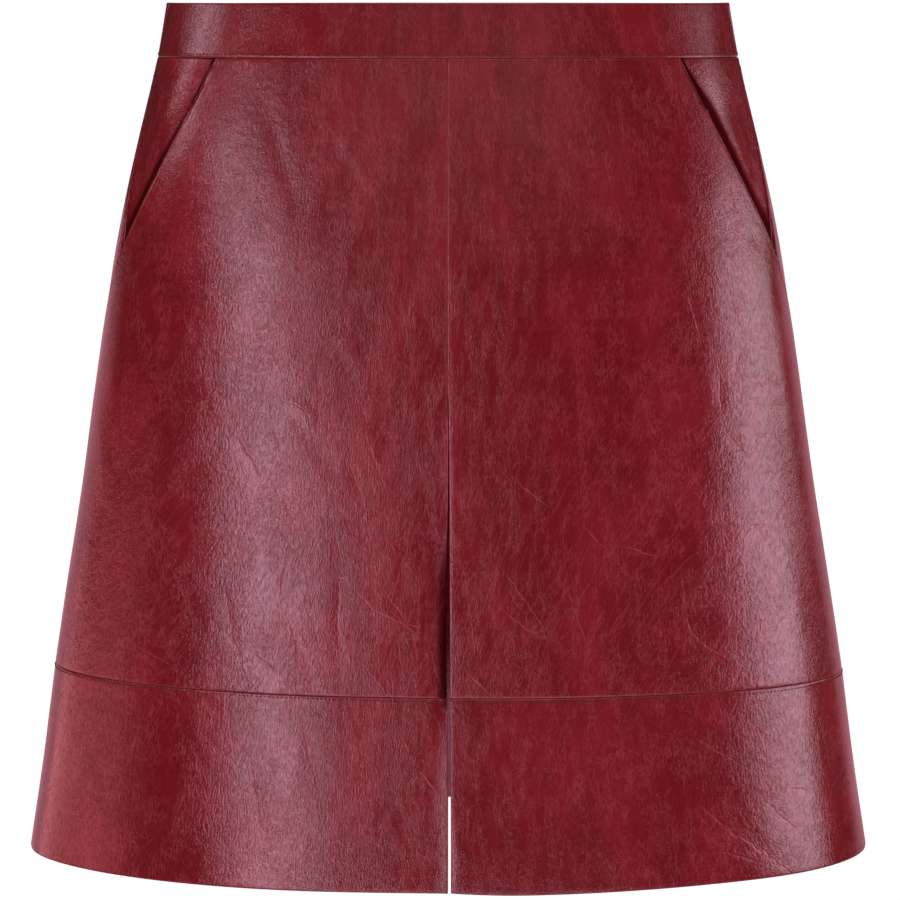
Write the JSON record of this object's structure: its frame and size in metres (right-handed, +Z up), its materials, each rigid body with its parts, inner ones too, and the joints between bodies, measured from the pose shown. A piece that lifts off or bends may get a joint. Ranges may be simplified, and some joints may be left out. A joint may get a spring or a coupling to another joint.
{
  "type": "leather skirt",
  "caption": "Worn A-line leather skirt, hollow from waist to hem, with slanted side pockets, a front slit, a wide hem band and a concealed zip at the back.",
  "frame": {"origin": "middle of the waist, halfway up the waistband, where the wearer holds it", "axes": "+Z up through the waist, the front faces -Y, +X to the right as seen from the front"},
  "size_m": [0.491, 0.2506, 0.492],
  "materials": {
    "leather": "glossy, waxed and crinkled",
    "pocket_cloth": "plain woven cotton",
    "zip_tape": "fine woven tape",
    "zip_metal": "smooth nickel"
  },
  "bodies": {
    "skirt": {"waistband_front": "leather", "waistband_back_left": "leather", "waistband_back_right": "leather", "front_panel_left": "leather", "front_panel_right": "leather", "hip_piece_left": "leather", "hip_piece_right": "leather", "pocket_bag_left": "pocket_cloth", "pocket_bag_right": "pocket_cloth", "back_panel_left": "leather", "back_panel_right": "leather", "hem_band_front_left": "leather", "hem_band_front_right": "leather", "hem_band_back": "leather", "zip_tape_left": "zip_tape", "zip_tape_right": "zip_tape", "zip_slider": "zip_metal"},
    "pull_tab": {"zip_pull": "zip_metal"}
  },
  "joints": [
    {"name": "pull_tab_swing", "type": "hinge", "parent": "skirt", "child": "pull_tab", "pos_m": [0, 0.08779, 0.0068], "axis": [1, 0, 0], "range_deg": [0, 170]}
  ]
}
